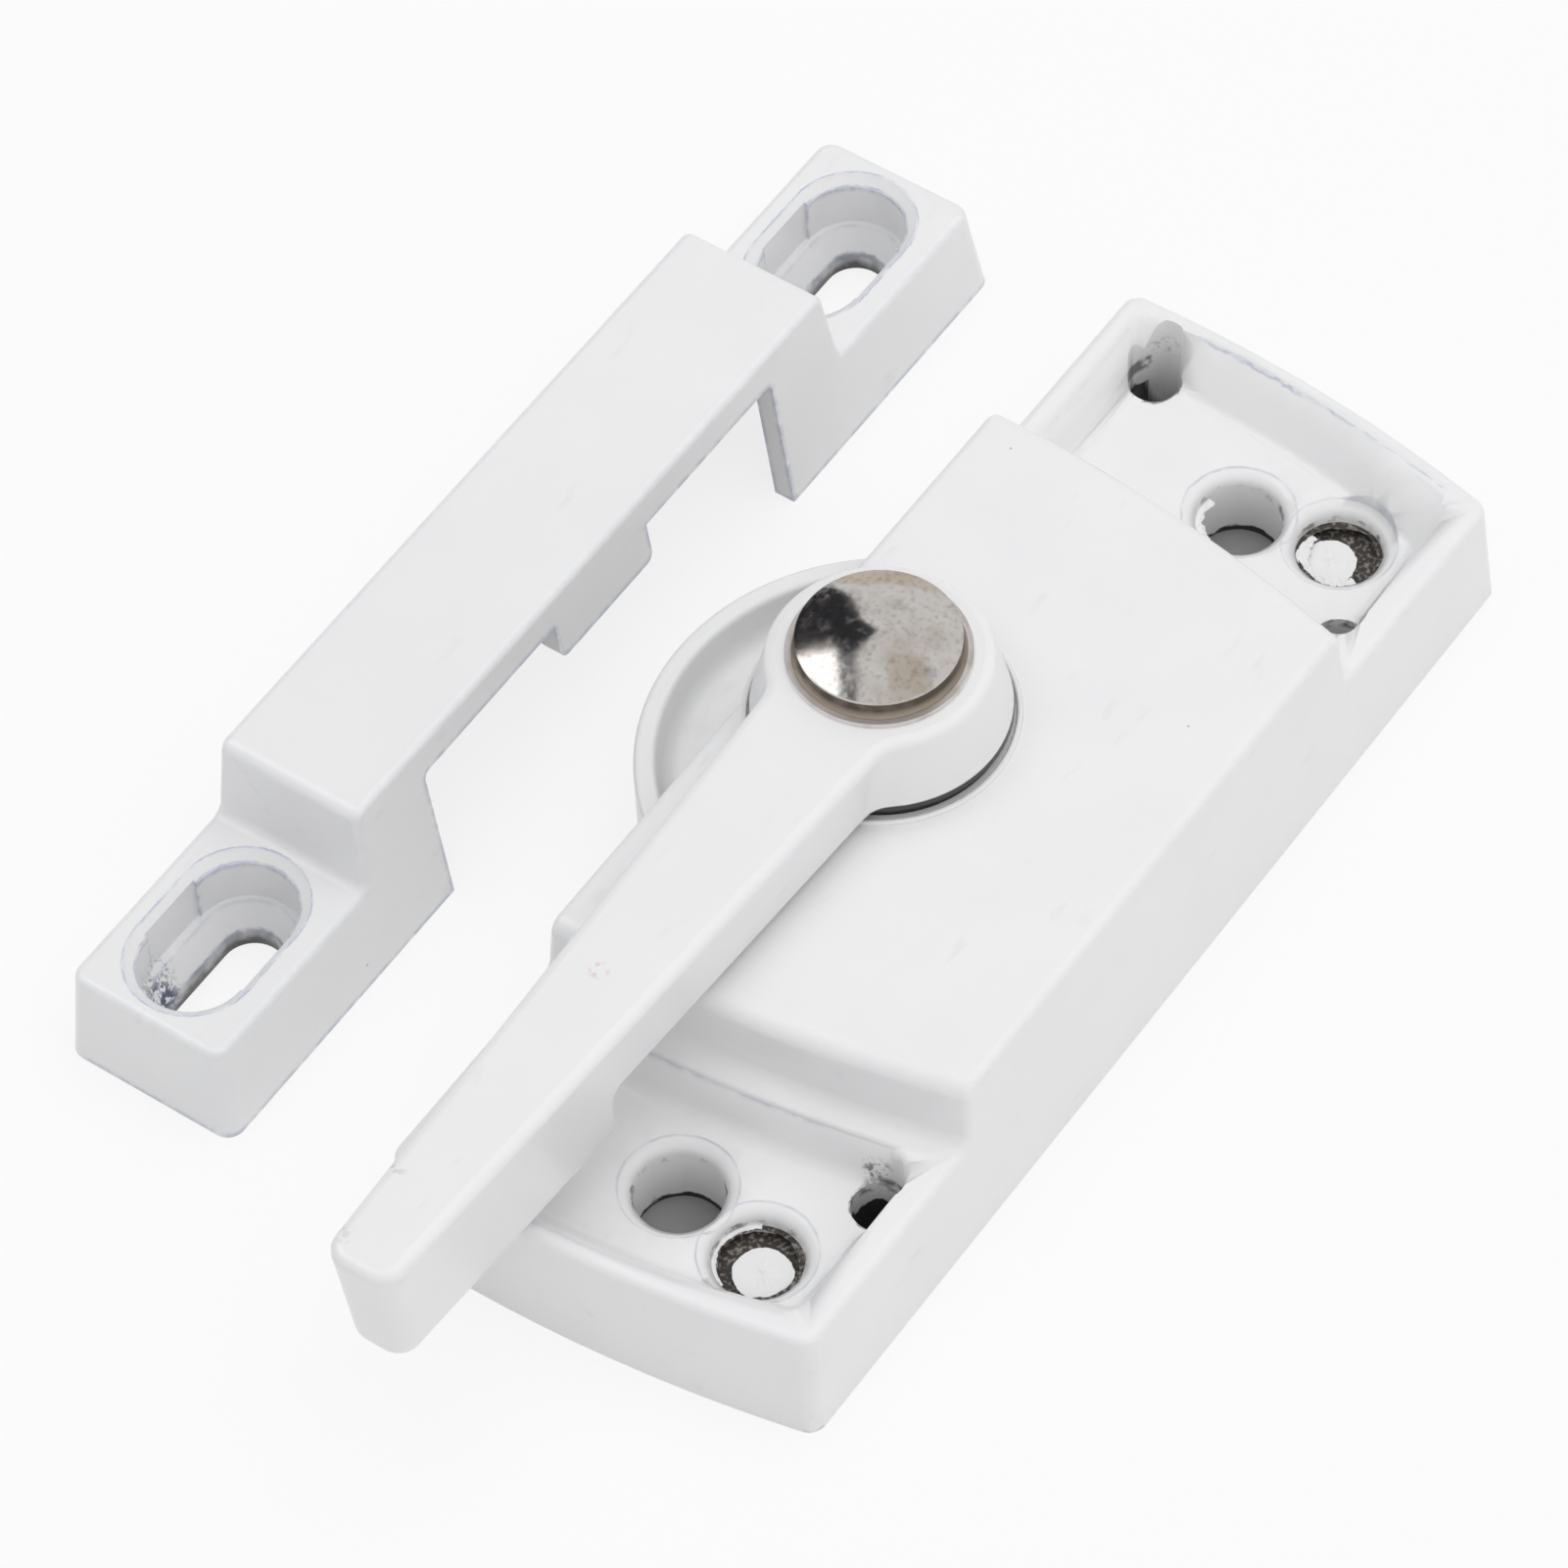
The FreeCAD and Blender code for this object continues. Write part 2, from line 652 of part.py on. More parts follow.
PIECES = {
    "lock_case": make_lock_case,
    "lever_handle": make_lever_handle,
    "pivot_rivet": make_pivot_rivet,
    "seat_washer": make_seat_washer,
    "bearing_ring": make_bearing_ring,
    "crescent_cam": make_crescent_cam,
    "wave_washer": make_wave_washer,
    "tail_washer": make_tail_washer,
    "keeper": make_keeper,
}

os.makedirs("parts", exist_ok=True)
for name, make in PIECES.items():
    shape = make()
    solid = shape.Solids[0] if len(shape.Solids) == 1 else shape
    print(name, len(shape.Solids), "solid(s)", solid.isValid(), round(solid.Volume, 1), "mm3")
    solid.exportStep("parts/" + name + ".step")
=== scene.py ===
import json
import math
import bmesh
import bpy
from mathutils import Matrix, Vector


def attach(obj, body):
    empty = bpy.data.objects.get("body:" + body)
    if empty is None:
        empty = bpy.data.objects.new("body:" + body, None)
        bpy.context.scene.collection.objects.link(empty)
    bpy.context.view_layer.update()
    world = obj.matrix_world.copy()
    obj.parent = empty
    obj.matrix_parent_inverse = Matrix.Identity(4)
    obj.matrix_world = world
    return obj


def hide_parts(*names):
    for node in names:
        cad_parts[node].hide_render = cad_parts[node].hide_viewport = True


# A white crescent lock for a sliding window and its keeper, on a pale floor. Metres, as in the frame.

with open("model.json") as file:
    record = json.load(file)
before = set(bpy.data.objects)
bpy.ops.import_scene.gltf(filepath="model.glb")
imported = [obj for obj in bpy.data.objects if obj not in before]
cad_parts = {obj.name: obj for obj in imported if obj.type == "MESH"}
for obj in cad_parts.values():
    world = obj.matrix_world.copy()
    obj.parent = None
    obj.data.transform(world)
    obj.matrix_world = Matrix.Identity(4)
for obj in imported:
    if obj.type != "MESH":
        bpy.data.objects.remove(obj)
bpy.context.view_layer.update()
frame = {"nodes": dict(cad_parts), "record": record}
nodes = frame["nodes"]
mounts = {mount["name"]: mount for mount in frame["record"]["mounts"]}
MM = 0.001

VIEW_TURN = math.radians(37.44)     # how far the camera stands round to the right

# Sizes in millimetres, as on the part
PIVOT = (-6.9, 0.0)                 # middle of the rivet
HALF_LENGTH = 45.65                 # of the case at its base, on the middle line
END_SLANT = 0.0928                  # the ends run back towards the right
END_BULGE = 0.0043                  # and bow outwards, by this times x squared
RIM_TOP = 9.6
SOLID_FLOOR = 7.1                   # of the screw pockets in the solid
POCKET_FLOOR = 5.85                 # of the screw pockets on the real casting
RIM_SHIFT = 0.85                    # how much closer to the ends the pockets reach on the real casting
SINK_RADIUS = 4.15
BORE_RADIUS = 3.15
SMALL_RADIUS = 1.95
WIDE_HOLES = ("inner_screws", "outer_screws")
SMALL_HOLES = ("side_screws", "corner_screws")


# Camera at the photograph's viewing angle

def place_camera():
    position = Vector((0.1799, -0.2554, 0.4259))
    target = Vector((-0.0160, 0.0004, 0.0))
    roll = math.radians(-3.355)
    ahead = (target - position).normalized()
    level = ahead.cross(Vector((0, 0, 1))).normalized()
    upright = level.cross(ahead)
    right = level * math.cos(roll) + upright * math.sin(roll)
    up = upright * math.cos(roll) - level * math.sin(roll)
    camera = bpy.data.objects.new("camera", bpy.data.cameras.new("camera"))
    camera.data.sensor_width = 36.0
    camera.data.lens = 173.7
    camera.data.clip_end = 20.0
    camera.matrix_world = Matrix((right, up, -ahead)).transposed().to_4x4()
    camera.location = position
    bpy.context.scene.collection.objects.link(camera)
    bpy.context.scene.camera = camera


# The case with the pockets of the real casting

def hole_pair(name):
    """The two holes of a mount, as x and y."""
    mount = mounts[name]
    x, y, _ = (value / MM for value in mount["pos_m"])
    half = mount["dims"]["spacing_y_mm"] / 2
    return [(x, y - half), (x, y + half)]


def holes_of(names):
    return [hole for name in names for hole in hole_pair(name)]


def end_of_case(x):
    """Half length of the case at its base."""
    return HALF_LENGTH - END_SLANT * x - END_BULGE * x * x


def block_foot(x):
    """Where the pocket's wall along the raised block stands, from the middle."""
    return 28.4 - 0.12 * x - 0.004 * x * x


def settled(x, y, z, small_holes):
    """Moves a point of the solid's pocket to the real casting's deeper floor and narrower end rims."""
    half_width = 15.0       # reaches into the side rims
    end_rim = 2.0           # what stays of the end rims
    sink_depth = 1.7        # of the countersinks below the floor
    wall_foot = 3.9         # inset of the end wall's foot
    wall_run = 1.2          # over which the shift of the end rims sets in
    straight = 13.0         # half width over which a small hole's edge stays at the floor
    climb = 4.0             # rise of that edge per millimetre further out
    side = math.copysign(1.0, y)
    inset = end_of_case(x) - abs(y)
    if abs(x) >= half_width or abs(y) <= block_foot(x) - 1.0 or inset <= end_rim:
        return x, y, z
    if not SOLID_FLOOR - sink_depth < z < RIM_TOP + 0.05:
        return x, y, z
    depth = RIM_TOP - POCKET_FLOOR
    if z < SOLID_FLOOR:
        lowered = z - (SOLID_FLOOR - POCKET_FLOOR)
    else:
        lowered = RIM_TOP - (RIM_TOP - z) * depth / (RIM_TOP - SOLID_FLOOR)
    pushed = side * min(max((wall_foot - inset) / wall_run, 0.0), 1.0) * RIM_SHIFT
    for hole_x, hole_y in small_holes:
        in_hole = math.hypot(x - hole_x, y - hole_y) < SMALL_RADIUS + 0.1
        if in_hole and z > SOLID_FLOOR:
            beyond = max(abs(x) - straight, wall_foot - 0.1 - inset, 0.0)
            level = min(POCKET_FLOOR + beyond * climb, lowered)
            return x, y + pushed * (level - POCKET_FLOOR) / depth, level
    return x, y + pushed, min(lowered, z)


def settle_case():
    """The case as cast: a merged copy of its mesh with the pockets moved and the normals weighted by area."""
    small_holes = holes_of(SMALL_HOLES)
    shell = bmesh.new()
    shell.from_mesh(nodes["lock_case"].data)
    bmesh.ops.remove_doubles(shell, verts=shell.verts, dist=0.001 * MM)
    for vertex in shell.verts:
        vertex.co = Vector(settled(*(vertex.co / MM), small_holes)) * MM
    for face in shell.faces:
        face.smooth = True
    mesh = bpy.data.meshes.new("lock_case_cast")
    shell.to_mesh(mesh)
    shell.free()
    mesh.set_sharp_from_angle(angle=math.radians(32))
    case = bpy.data.objects.new("lock_case_cast", mesh)
    bpy.context.scene.collection.objects.link(case)
    weigh = case.modifiers.new("weighted_normals", "WEIGHTED_NORMAL")
    weigh.keep_sharp = True
    whole = bpy.data.meshes.new_from_object(case.evaluated_get(bpy.context.evaluated_depsgraph_get()))
    case.modifiers.clear()
    case.data = whole
    whole.materials.clear()
    whole.materials.append(case_coat())
    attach(case, "case")
    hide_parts("lock_case")


# Finishes

class Finish:
    """One procedural finish on a Principled shader. Patterns are laid out in millimetres."""

    def __init__(self, name, color, roughness, metallic=0.0):
        self.material = bpy.data.materials.new(name)
        self.material.use_nodes = True
        self.tree = self.material.node_tree
        self.shader = self.tree.nodes["Principled BSDF"]
        self.color = color
        self.roughness = roughness
        self.shader.inputs["Metallic"].default_value = metallic
        self.mm = self.add("VectorMath", self.add("TexCoord", output="Object"), operation="SCALE",
                           named={"Scale": 1 / MM})
        self.height = None

    def feed(self, socket, value):
        if isinstance(value, bpy.types.NodeSocket):
            self.tree.links.new(value, socket)
        elif isinstance(value, (tuple, list)) and len(value) == 3 and socket.type == "RGBA":
            socket.default_value = (*value, 1.0)
        else:
            socket.default_value = value

    def add(self, kind, *inputs, output=0, named=None, **settings):
        node = self.tree.nodes.new("ShaderNode" + kind)
        for key, value in settings.items():
            setattr(node, key, value)
        for socket, value in zip(node.inputs, inputs):
            self.feed(socket, value)
        for key, value in (named or {}).items():
            self.feed(node.inputs[key], value)
        return node.outputs[output]

    def math(self, operation, a, b=0.0):
        return self.add("Math", a, b, operation=operation)

    def both(self, *masks):
        total = masks[0]
        for mask in masks[1:]:
            total = self.math("MULTIPLY", total, mask)
        return total

    def either(self, masks):
        total = masks[0]
        for mask in masks[1:]:
            total = self.math("MAXIMUM", total, mask)
        return total

    def nearest(self, distances):
        least = distances[0]
        for distance in distances[1:]:
            least = self.math("MINIMUM", least, distance)
        return least

    def band(self, value, low, high, bottom=0.0, top=1.0):
        """Value stretched from low..high to bottom..top, and held there outside."""
        return self.add("MapRange", value, low, high, bottom, top)

    def noise(self, size, detail=2.0, stretch=(1, 1, 1), seed=0.0):
        """Cloudy pattern whose features are about size millimetres across."""
        vector = self.add("VectorMath", self.mm, stretch, operation="MULTIPLY")
        return self.add("TexNoise", named={"Vector": vector, "Scale": 1 / size, "Detail": detail, "W": seed},
                        noise_dimensions="4D")

    def axis(self, name):
        return self.add("SeparateXYZ", self.mm, output=name)

    def span(self, name, low, high, soft=0.2):
        """1 between low and high along an axis, in millimetres."""
        place = self.axis(name)
        return self.both(self.band(place, low - soft, low + soft), self.band(place, high + soft, high - soft))

    def flat_distance(self, x, y):
        """Distance in millimetres from an upright line through x, y."""
        flat = self.add("VectorMath", self.mm, (1, 1, 0), operation="MULTIPLY")
        return self.add("VectorMath", flat, (x, y, 0), operation="DISTANCE", output="Value")

    def distance(self, x, y, z):
        return self.add("VectorMath", self.mm, (x, y, z), operation="DISTANCE", output="Value")

    def slot_distance(self, x, y, straight, half_width):
        """How far outside an upright slot along Y a point lies; less than 0 in the slot."""
        aside = self.math("SUBTRACT", self.axis("X"), x)
        along = self.math("ABSOLUTE", self.math("SUBTRACT", self.axis("Y"), y))
        along = self.math("MAXIMUM", self.math("SUBTRACT", along, straight / 2), 0.0)
        reach = self.math("SQRT", self.math("ADD", self.math("MULTIPLY", aside, aside),
                                            self.math("MULTIPLY", along, along)))
        return self.math("SUBTRACT", reach, half_width)

    def outward_edges(self, reach):
        """1 along outward edges, sharp or rounded, and 0 on open faces. Reach is in millimetres."""
        depth = self.add("AmbientOcclusion", output="AO", samples=8, inside=True, only_local=True,
                         named={"Distance": reach * MM})
        return self.band(depth, 0.90, 0.66)

    def line_round(self, x, y, radius, width, wobble):
        """Thin ring round x, y, in millimetres."""
        off = self.math("SUBTRACT", self.math("ADD", self.flat_distance(x, y), wobble), radius)
        return self.band(self.math("ABSOLUTE", off), width, width * 0.4)

    def tint(self, mask, color):
        """Lays a colour over the finish where the mask is 1."""
        self.color = self.add("Mix", output=2, data_type="RGBA", named={0: mask, 6: self.color, 7: color})

    def reworked(self, mask, roughness):
        self.roughness = self.add("Mix", named={0: mask, 2: self.roughness, 3: roughness})

    def raise_by(self, mask, amount):
        layer = self.math("MULTIPLY", mask, amount)
        self.height = layer if self.height is None else self.math("ADD", self.height, layer)

    def smudge(self, place, size, color, seed, amount=0.8, grain=0.35, cover=0.52):
        """A rubbed spot about size millimetres across, broken up by grain."""
        near = self.band(self.distance(*place), size / 2, size / 4)
        broken = self.band(self.noise(grain, 3.0, seed=seed), cover, cover + 0.06)
        self.tint(self.both(near, broken, amount), color)

    def done(self):
        self.feed(self.shader.inputs["Base Color"], self.color)
        self.feed(self.shader.inputs["Roughness"], self.roughness)
        if self.height is not None:
            bump = self.add("Bump", named={"Height": self.height, "Strength": 1.0, "Distance": MM})
            self.feed(self.shader.inputs["Normal"], bump)
        return self.material


THIN_PAINT = (0.34, 0.38, 0.55)
PALE_RING = (0.40, 0.42, 0.50)
BROWN_LIP = (0.20, 0.16, 0.12)
BORE_DIRT = (0.10, 0.08, 0.07)
# Painted shade: near-black for the deep parts of the screw bores.
BORE_SHADE_BLACK = (0.03, 0.028, 0.027)
DARK_RUB = (0.13, 0.12, 0.115)
RIM_SCRATCH = (0.36, 0.32, 0.36)
SLOT_DIRT = (0.06, 0.08, 0.13)
SLOT_BLUE = (0.16, 0.19, 0.30)
SLOT_SHADE = (0.045, 0.045, 0.05)
SLIT_SHADE = (0.03, 0.026, 0.026)


def powder_coat(name, seed):
    """White powder coat: orange peel, faint clouds, fine specks and rubs."""
    paint = Finish(name, (0.855, 0.855, 0.855), 0.34)
    paint.shader.inputs["Coat Weight"].default_value = 0.25
    paint.shader.inputs["Coat Roughness"].default_value = 0.12
    clouds = paint.band(paint.noise(7.0, 3.0, seed=seed), 0.35, 0.7)
    paint.tint(paint.both(clouds, 0.5), (0.815, 0.815, 0.82))
    paint.raise_by(paint.noise(0.75, 2.0, seed=seed), 0.010)
    paint.raise_by(paint.noise(0.22, 1.0, seed=seed + 1), 0.0018)
    rub = paint.band(paint.noise(1.6, 4.0, stretch=(1.0, 0.35, 1.0), seed=seed + 2), 0.64, 0.76)
    paint.tint(paint.both(rub, 0.3), (0.66, 0.655, 0.655))
    paint.reworked(rub, 0.5)
    speck = paint.add("TexVoronoi", output="Distance",
                      named={"Vector": paint.mm, "Scale": 0.16, "Randomness": 1.0})
    paint.tint(paint.band(speck, 0.016, 0.010, 0.0, 0.85), (0.16, 0.15, 0.14))
    return paint


def draw_thin(paint, region, seed, amount, reach):
    """Paint drawn thin and bluish along the outward edges inside a region."""
    breaks = paint.band(paint.noise(1.1, 4.0, seed=seed), 0.36, 0.56)
    paint.tint(paint.both(paint.outward_edges(reach), breaks, region, amount), THIN_PAINT)


def run_back(paint):
    """How far the case's ends lie back from the middle line's, as end_of_case has it."""
    x = paint.axis("X")
    bulge = paint.math("MULTIPLY", paint.math("MULTIPLY", x, x), END_BULGE)
    return paint.math("ADD", paint.math("MULTIPLY", x, END_SLANT), bulge)


def inside_pocket_rims(paint):
    """1 over both screw pockets and their inner edges, 0 towards the outer edges of the rims."""
    across = paint.band(paint.math("ABSOLUTE", paint.axis("X")), 15.2, 14.9)
    past = paint.math("ADD", paint.math("ABSOLUTE", paint.axis("Y")), run_back(paint))
    z = paint.axis("Z")
    return paint.both(across, paint.band(past, 44.4, 44.1), paint.band(z, RIM_TOP - 1.2, RIM_TOP - 0.9),
                      paint.band(z, RIM_TOP + 0.8, RIM_TOP + 0.5))


def rim_line(paint):
    """The thin bluish line on the inner edge of the far end's rim."""
    wobble = paint.band(paint.noise(0.9, 4.0, seed=27), 0.3, 0.7, -0.08, 0.08)
    off = paint.math("ADD", paint.math("ADD", paint.axis("Y"), run_back(paint)), wobble)
    off = paint.math("ABSOLUTE", paint.math("SUBTRACT", off, 43.7))
    breaks = paint.band(paint.noise(1.3, 4.0, seed=28), 0.36, 0.56)
    return paint.both(paint.band(off, 0.12, 0.04), paint.span("X", -9.5, 12.5),
                      paint.span("Z", RIM_TOP - 1.2, RIM_TOP + 0.5), breaks, 0.55)


def mark_screw_holes(paint):
    """Thin broken lines round the countersinks, the bores and the small holes."""
    wobble = paint.band(paint.noise(0.8, 3.0, seed=70), 0.3, 0.7, -0.12, 0.12)
    wide = holes_of(WIDE_HOLES)
    rings = [paint.line_round(x, y, SINK_RADIUS, 0.11, paint.both(wobble, 0.35)) for x, y in wide]
    near_floor = paint.span("Z", POCKET_FLOOR - 0.5, POCKET_FLOOR + 1.0)
    faint = paint.band(paint.noise(2.0, 3.0, seed=71), 0.35, 0.6, 0.12, 0.5)
    paint.tint(paint.both(paint.either(rings), near_floor, faint), PALE_RING)
    lips = [paint.line_round(x, y, BORE_RADIUS, 0.10, wobble) for x, y in wide]
    low_lip = paint.span("Z", POCKET_FLOOR - 1.5, POCKET_FLOOR - 0.7)
    patchy = paint.band(paint.noise(1.4, 4.0, seed=72), 0.47, 0.58)
    paint.tint(paint.both(paint.either(lips), low_lip, patchy, 0.8), BROWN_LIP)
    bores = [paint.line_round(x, y, SMALL_RADIUS, 0.16, wobble) for x, y in holes_of(SMALL_HOLES)]
    mouth = paint.span("Z", POCKET_FLOOR - 0.8, POCKET_FLOOR + 0.5)
    dirty = paint.band(paint.noise(1.2, 4.0, seed=73), 0.42, 0.55)
    paint.tint(paint.both(paint.either(bores), mouth, dirty, 0.8), BORE_DIRT)


def painted_bore_shade(paint, bores, top, ragged, seed):
    """Painted shade deep in bores, given as names and radii: near-black below a torn border of the paint at
    top.
    """
    depth = paint.nearest([paint.math("SUBTRACT", paint.flat_distance(x, y), radius)
                           for name, radius in bores for x, y in hole_pair(name)])
    inside = paint.band(depth, 0.12, 0.04)
    torn = paint.band(paint.noise(1.3, 4.0, seed=seed), 0.3, 0.7, -ragged, ragged)
    below = paint.band(paint.math("ADD", paint.axis("Z"), torn), top + 0.12, top - 0.12)
    mask = paint.both(inside, below)
    # Painted shade: the bore below the torn paint border is coloured near-black.
    paint.tint(mask, BORE_SHADE_BLACK)
    paint.reworked(mask, 0.6)


def case_coat():
    paint = powder_coat("case_paint_coat", 20)
    off_holes = paint.nearest([paint.flat_distance(x, y) for x, y in holes_of(SMALL_HOLES)])
    clear = paint.band(off_holes, 5.0, 6.5)
    draw_thin(paint, paint.both(inside_pocket_rims(paint), clear), 26, 0.9, 0.7)
    paint.tint(rim_line(paint), THIN_PAINT)
    mark_screw_holes(paint)
    # Painted shade: near-black low in the bores of the outer and small holes, and at the foot of the inner
    # bores.
    shallow = (("outer_screws", BORE_RADIUS), ("side_screws", SMALL_RADIUS), ("corner_screws", SMALL_RADIUS))
    painted_bore_shade(paint, shallow, POCKET_FLOOR - 2.1, 0.5, 25)
    painted_bore_shade(paint, (("inner_screws", BORE_RADIUS),), 0.5, 0.4, 24)
    paint.smudge((10.9, -27.0, 7.2), 2.6, DARK_RUB, 74)
    paint.smudge((-11.8, 43.0, 7.2), 3.2, DARK_RUB, 75, amount=0.6)
    paint.smudge((-8.0, 42.6, POCKET_FLOOR), 1.3, DARK_RUB, 76, grain=0.5)
    for step in range(7):
        place = (-3.6 + step * 0.95, -46.0 + step * 0.10, RIM_TOP)
        paint.smudge(place, 0.9, RIM_SCRATCH, 80 + step, 0.7, 0.6)
    return paint.done()


def nearest_slot(paint, straight, half_width):
    """How far outside the nearer of the keeper's two slots a point lies."""
    return paint.nearest([paint.slot_distance(x, y, straight, half_width)
                          for x, y in hole_pair("keeper_screws")])


def keeper_coat():
    """The keeper's paint: thin on its edges and slot steps, with dirt in the near slot's lower left."""
    paint = powder_coat("keeper_paint_coat", 50)
    draw_thin(paint, 1.0, 55, 0.5, 0.6)
    wobble = paint.band(paint.noise(0.5, 4.0, seed=54), 0.3, 0.7, -0.05, 0.05)
    rough = paint.band(paint.noise(1.4, 4.0, seed=53), 0.36, 0.55, 0.12, 0.6)
    steps = ((4.85, 7.5, 8.2), (4.05, 6.9, 7.5))        # half width, and the levels a line lies between
    for half_width, low, high in steps:
        off = paint.math("ADD", nearest_slot(paint, 5.5, half_width), wobble)
        line = paint.band(paint.math("ABSOLUTE", off), 0.11, 0.04)
        paint.tint(paint.both(line, paint.span("Z", low, high), rough), THIN_PAINT)
    through = nearest_slot(paint, 5.7, 2.35)
    wall = paint.band(through, 0.10, 0.03)
    uneven = paint.band(paint.noise(1.2, 3.0, seed=56), 0.3, 0.7, -0.4, 0.4)
    fade = paint.math("ADD", paint.axis("Z"), uneven)
    paint.tint(paint.both(wall, paint.band(fade, 1.9, 0.3)), SLOT_SHADE)
    rim = paint.band(paint.math("ABSOLUTE", paint.math("ADD", through, wobble)), 0.16, 0.06)
    paint.tint(paint.both(rim, paint.span("Z", 1.2, 2.1), rough), SLOT_BLUE)
    paint.smudge((-40.4, -40.0, 1.8), 4.6, SLOT_DIRT, 58, 0.95, 0.40, 0.47)
    paint.smudge((-41.3, -39.0, 3.2), 3.6, SLOT_BLUE, 59, 0.7, 0.30, 0.55)
    return paint.done()


def lever_coat():
    """The lever's paint: shaded at the foot of the hub, with a pink mark and two grey rubs."""
    paint = powder_coat("lever_paint_coat", 30)
    near_hub = paint.band(paint.flat_distance(*PIVOT), 9.9, 9.6)
    hub_foot = paint.band(paint.axis("Z"), 16.5, 16.4)
    paint.tint(paint.both(near_hub, hub_foot), SLIT_SHADE)
    paint.smudge((-7.4, -32.0, 21.8), 1.6, (0.74, 0.45, 0.47), 34, 0.7, 0.6, 0.48)
    paint.smudge((-8.9, -58.0, 20.8), 2.6, (0.42, 0.40, 0.42), 35, 0.6, 0.5)
    paint.smudge((-9.2, -52.0, 21.2), 2.0, (0.45, 0.44, 0.47), 36, 0.6, 0.5)
    return paint.done()


def rivet_nickel():
    """Polished nickel with scuffs and warm stains, brassy on the neck under the cap."""
    metal = Finish("rivet_nickel", (0.66, 0.635, 0.615), 0.10, 1.0)
    stain = metal.band(metal.noise(2.6, 5.0, seed=4), 0.46, 0.70)
    metal.tint(metal.both(stain, 0.55), (0.44, 0.38, 0.32))
    metal.reworked(stain, 0.20)
    haze = metal.band(metal.noise(0.7, 5.0, seed=8), 0.50, 0.66)
    metal.reworked(metal.both(haze, 0.6), 0.32)
    speckle = metal.band(metal.noise(0.45, 6.0, seed=14), 0.50, 0.70)
    metal.tint(metal.both(speckle, 0.45), (0.30, 0.24, 0.18))
    fine = metal.noise(0.10, 2.0, stretch=(1.0, 0.08, 1.0), seed=5)
    cross = metal.noise(0.12, 2.0, stretch=(0.1, 1.0, 1.0), seed=6)
    metal.raise_by(metal.math("ADD", fine, cross), 0.0007)
    metal.raise_by(metal.noise(1.9, 2.0, seed=7), 0.010)
    neck = metal.band(metal.axis("Z"), 22.9, 22.7)
    metal.tint(metal.both(neck, 0.8), (0.36, 0.27, 0.17))
    return metal.done()


def turned_washer():
    """Plated washer: a turned flat flange and a brownish raised cone, with painted shade at the cone's top
    under the cap.
    """
    metal = Finish("turned_washer", (0.80, 0.76, 0.75), 0.33, 1.0)
    radius = metal.flat_distance(*PIVOT)
    metal.tint(metal.band(radius, 6.08, 6.0), (0.46, 0.40, 0.32))
    # Painted shade: the top of the cone, just under the rivet's cap, darkened nearly to black.
    metal.tint(metal.both(metal.band(metal.axis("Z"), 22.2, 22.8), 0.9), (0.055, 0.045, 0.035))
    grooves = metal.add("TexNoise", radius, noise_dimensions="1D",
                        named={"W": radius, "Scale": 7.0, "Detail": 2.0})
    metal.raise_by(grooves, 0.010)
    stain = metal.band(metal.noise(1.5, 4.0, seed=9), 0.45, 0.7)
    metal.tint(metal.both(stain, 0.35), (0.42, 0.37, 0.33))
    metal.reworked(stain, 0.48)
    return metal.done()


def zinc_plate(name, color, seed):
    metal = Finish(name, color, 0.36, 1.0)
    spots = metal.band(metal.noise(1.1, 4.0, seed=seed), 0.4, 0.7)
    metal.tint(metal.both(spots, 0.5), tuple(value * 0.7 for value in color))
    metal.reworked(spots, 0.52)
    metal.raise_by(metal.noise(0.3, 2.0, seed=seed + 1), 0.004)
    return metal.done()


def black_ring():
    plastic = Finish("black_ring", (0.012, 0.012, 0.013), 0.42)
    dust = plastic.band(plastic.noise(0.8, 4.0, seed=12), 0.5, 0.75)
    plastic.tint(plastic.both(dust, 0.3), (0.07, 0.065, 0.06))
    plastic.raise_by(plastic.noise(0.35, 2.0, seed=13), 0.004)
    return plastic.done()


def torn_edge_shade():
    """Near-black rough sheet with brownish and pale flecks: painted shade deep in the outer screw holes, cut
    with torn edges.
    """
    skin = Finish("painted_shade_torn_edge", (0.045, 0.038, 0.032), 0.55)
    fleck = skin.band(skin.noise(0.35, 4.0, seed=90), 0.50, 0.62)
    skin.tint(skin.both(fleck, 0.8), (0.30, 0.28, 0.25))
    skin.raise_by(skin.noise(0.25, 3.0, seed=91), 0.03)
    return skin.done()


def dress(node, material):
    for slot in nodes[node].material_slots:
        slot.material = material


def dress_all():
    dress("lever_handle", lever_coat())
    dress("crescent_cam", powder_coat("cam_paint_coat", 40).done())
    dress("keeper", keeper_coat())
    dress("pivot_rivet", rivet_nickel())
    dress("seat_washer", turned_washer())
    dress("bearing_ring", black_ring())
    dress("wave_washer", zinc_plate("spring_plate", (0.55, 0.55, 0.53), 60))
    dress("tail_washer", zinc_plate("tail_plate", (0.60, 0.60, 0.58), 64))


# Torn paint and painted shade left in the screw holes

TORN_SIZES = ("Outer Radius", "Inner Radius", "Ragged Inside", "Ragged Outside", "Grain", "Lift", "Start",
              "Sweep", "Seed")


